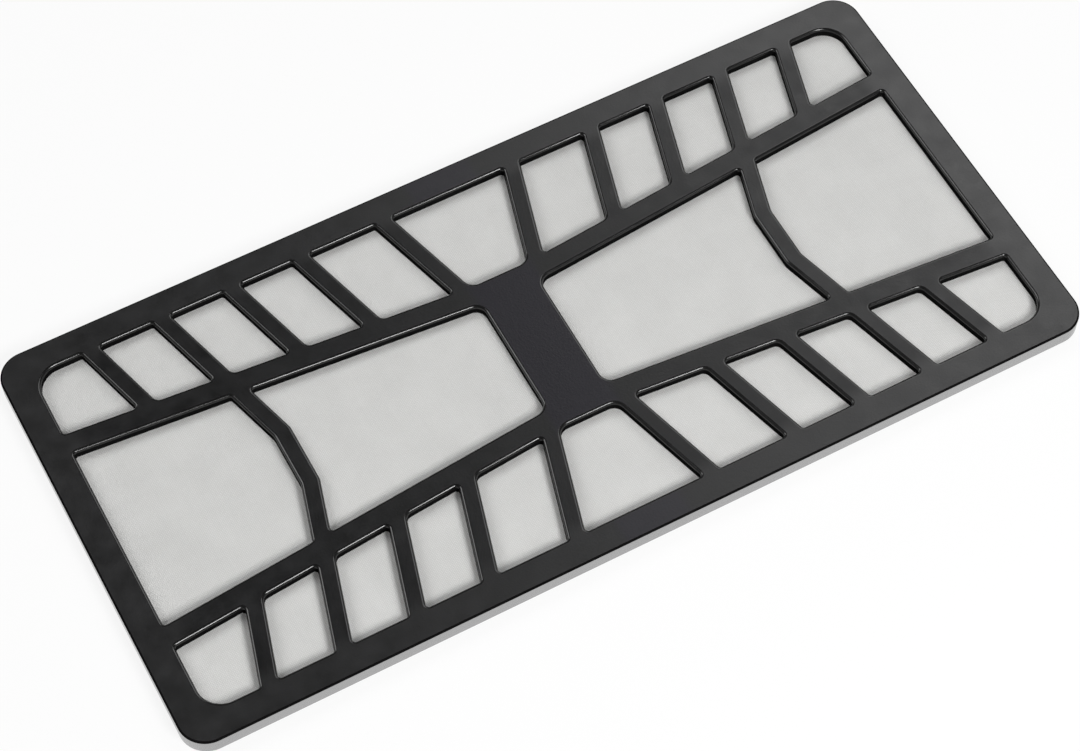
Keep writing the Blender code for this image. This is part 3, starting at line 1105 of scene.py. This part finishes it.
@dataclass
class Studio:
    """Pale floor, soft light and a white background."""

    floor_half_size: float = 3.0
    floor_height: float = -0.2 * MM
    floor_colour: Colour = (0.90, 0.90, 0.90)
    floor_roughness: float = 0.9
    floor_glow: float = 0.85
    world_strength: float = 0.08
    backdrop_top: float = math.radians(12.0)
    backdrop_blend: float = math.radians(5.0)

    def shown_white(self, graph: NodeGraph) -> Socket:
        """Add a value for the kind of ray.

        Args:
            graph: The graph to add to.

        Returns:
            1 for rays that show the background, 0 for rays that light the object.
        """
        path = graph.add("ShaderNodeLightPath").outputs
        seen = graph.math("MAXIMUM", path["Is Camera Ray"], path["Is Glossy Ray"])
        return graph.math("MAXIMUM", seen, path["Is Transmission Ray"])

    def build_floor(self) -> Thing:
        """Make the floor.

        Returns:
            The floor.
        """
        material, graph, shader = new_material("pale_floor")
        shader.inputs["Base Color"].default_value = (*self.floor_colour, 1.0)
        shader.inputs["Roughness"].default_value = self.floor_roughness
        shader.inputs["Specular IOR Level"].default_value = 0.0
        glow = graph.add("ShaderNodeEmission", {"Color": WHITE, "Strength": 1.0})
        share = graph.math("MULTIPLY", self.shown_white(graph), self.floor_glow)
        blend = graph.add("ShaderNodeMixShader", {0: share, 1: shader, 2: glow})
        graph.feed(material.node_tree.nodes["Material Output"].inputs["Surface"], blend)
        bm = bmesh.new()
        bmesh.ops.create_grid(bm, x_segments=4, y_segments=4, size=self.floor_half_size)
        bmesh.ops.translate(bm, verts=bm.verts, vec=(0.0, 0.0, self.floor_height))
        mesh = bpy.data.meshes.new("floor")
        bm.to_mesh(mesh)
        bm.free()
        mesh.materials.append(material)
        floor = link_object("floor", mesh)
        return floor

    def build_world(self) -> None:
        """Light the scene evenly and show white behind the object.

        Reflections show that white too, up to the backdrop's top.
        """
        world = bpy.data.worlds.new("studio")
        bpy.context.scene.world = world
        world.use_nodes = True
        graph = NodeGraph(world.node_tree)
        background = world.node_tree.nodes["Background"]
        background.inputs["Color"].default_value = WHITE
        way = graph.add("ShaderNodeTexCoord").outputs["Generated"]
        backdrop = graph.fade(graph.math("ARCSINE", graph.axes(way)["Z"]), self.backdrop_top,
                              self.backdrop_top - self.backdrop_blend)
        reflected = graph.math("MULTIPLY", self.shown_white(graph), backdrop)
        behind = graph.add("ShaderNodeLightPath").outputs["Is Camera Ray"]
        white = graph.math("MAXIMUM", behind, reflected)
        strength = graph.math("MULTIPLY_ADD", white, 1.0 - self.world_strength, self.world_strength)
        graph.feed(background.inputs["Strength"], strength)


@dataclass
class SoftBox:
    """A square lamp that looks at the object; angles in degrees, azimuth anticlockwise from +X."""

    name: str
    azimuth: float
    elevation: float
    distance: float
    size: float
    power: float

    def build(self) -> Thing:
        """Make the lamp.

        Returns:
            The lamp.
        """
        lamp = bpy.data.lights.new(self.name, "AREA")
        lamp.shape = "SQUARE"
        lamp.size = self.size
        lamp.energy = self.power
        azimuth, elevation = math.radians(self.azimuth), math.radians(self.elevation)
        ray = Vector((math.cos(azimuth) * math.cos(elevation), math.sin(azimuth) * math.cos(elevation),
                      math.sin(elevation)))
        item = link_object(self.name, lamp)
        item.location = ray * self.distance
        item.rotation_euler = ray.to_track_quat("Z", "Y").to_euler()
        return item


@dataclass
class PhotoCamera:
    """Camera with the photograph's position, aim, roll and lens; lens and sensor in millimetres."""

    position: tuple[float, float, float] = (-185.67 * MM, -351.65 * MM, 643.36 * MM)
    aim: tuple[float, float, float] = (-5.39 * MM, -8.47 * MM, 4.8 * MM)
    roll: float = math.radians(-0.582)
    lens: float = 96.45
    sensor_width: float = 36.0

    def build(self) -> Thing:
        """Make the camera and use it for the scene.

        Returns:
            The camera.
        """
        data = bpy.data.cameras.new("photo_camera")
        data.lens = self.lens
        data.sensor_width = self.sensor_width
        data.sensor_fit = "HORIZONTAL"
        camera = link_object("photo_camera", data)
        back = Vector(self.position) - Vector(self.aim)
        level = back.to_track_quat("Z", "Y").to_matrix().to_4x4()
        turn = Matrix.Rotation(self.roll, 4, "Z")
        camera.matrix_world = Matrix.Translation(self.position) @ level @ turn
        bpy.context.scene.camera = camera
        return camera


def magnet_strips(length: float, width: float, section: BorderSection) -> list[MagnetStrip]:
    """The four strips of the border.

    Args:
        length: The frame's length.
        width: The frame's width.
        section: The border's section.

    Returns:
        The strips, named after the nodes that they stand for.
    """
    half_strip = section.groove_width / 2 - section.fit_gap
    inset = section.edge_wall + section.groove_width / 2
    side = (length / 2 - section.strip_end_space, half_strip)
    end = (half_strip, width / 2 - section.strip_end_space)
    return [
        MagnetStrip("magnet_strip_front", *side, (0.0, inset - width / 2)),
        MagnetStrip("magnet_strip_back", *side, (0.0, width / 2 - inset)),
        MagnetStrip("magnet_strip_left", *end, (inset - length / 2, 0.0)),
        MagnetStrip("magnet_strip_right", *end, (length / 2 - inset, 0.0)),
    ]


def main() -> None:
    """Build the filter, its stage and its camera."""
    logging.basicConfig(level=logging.INFO, format="%(name)s: %(message)s")
    bpy.context.scene.view_settings.view_transform = "Standard"
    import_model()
    low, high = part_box("frame")
    size = high - low
    grain = grain_group()

    section = BorderSection()
    strips = magnet_strips(size.x, size.y, section)
    moulding = FrameMoulding(size.x, size.y, size.z, section)
    moulding.build(strips, plastic_finishes(grain))

    magnet = FlexibleMagnet(grain).material()
    for strip in strips:
        strip.build(magnet)

    mesh_low, mesh_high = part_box("filter_mesh")
    mesh_radius = moulding.end_radius + section.mesh_overlap - section.fit_gap
    weave = FilterMesh(mesh_high.y - mesh_low.y, mesh_high.x - mesh_low.x, mesh_high.z, mesh_radius)
    weave.build(WovenThread(grain, weave.spacing).material())

    studio = Studio()
    studio.build_floor()
    studio.build_world()
    SoftBox("key_light", azimuth=-80.0, elevation=41.0, distance=0.9, size=0.3, power=6.6).build()
    SoftBox("sheen_light", azimuth=38.0, elevation=46.0, distance=1.5, size=0.8, power=5.6).build()
    SoftBox("back_light", azimuth=135.0, elevation=40.0, distance=1.5, size=0.8, power=8.6).build()
    PhotoCamera().build()


if __name__ == "__main__":
    main()
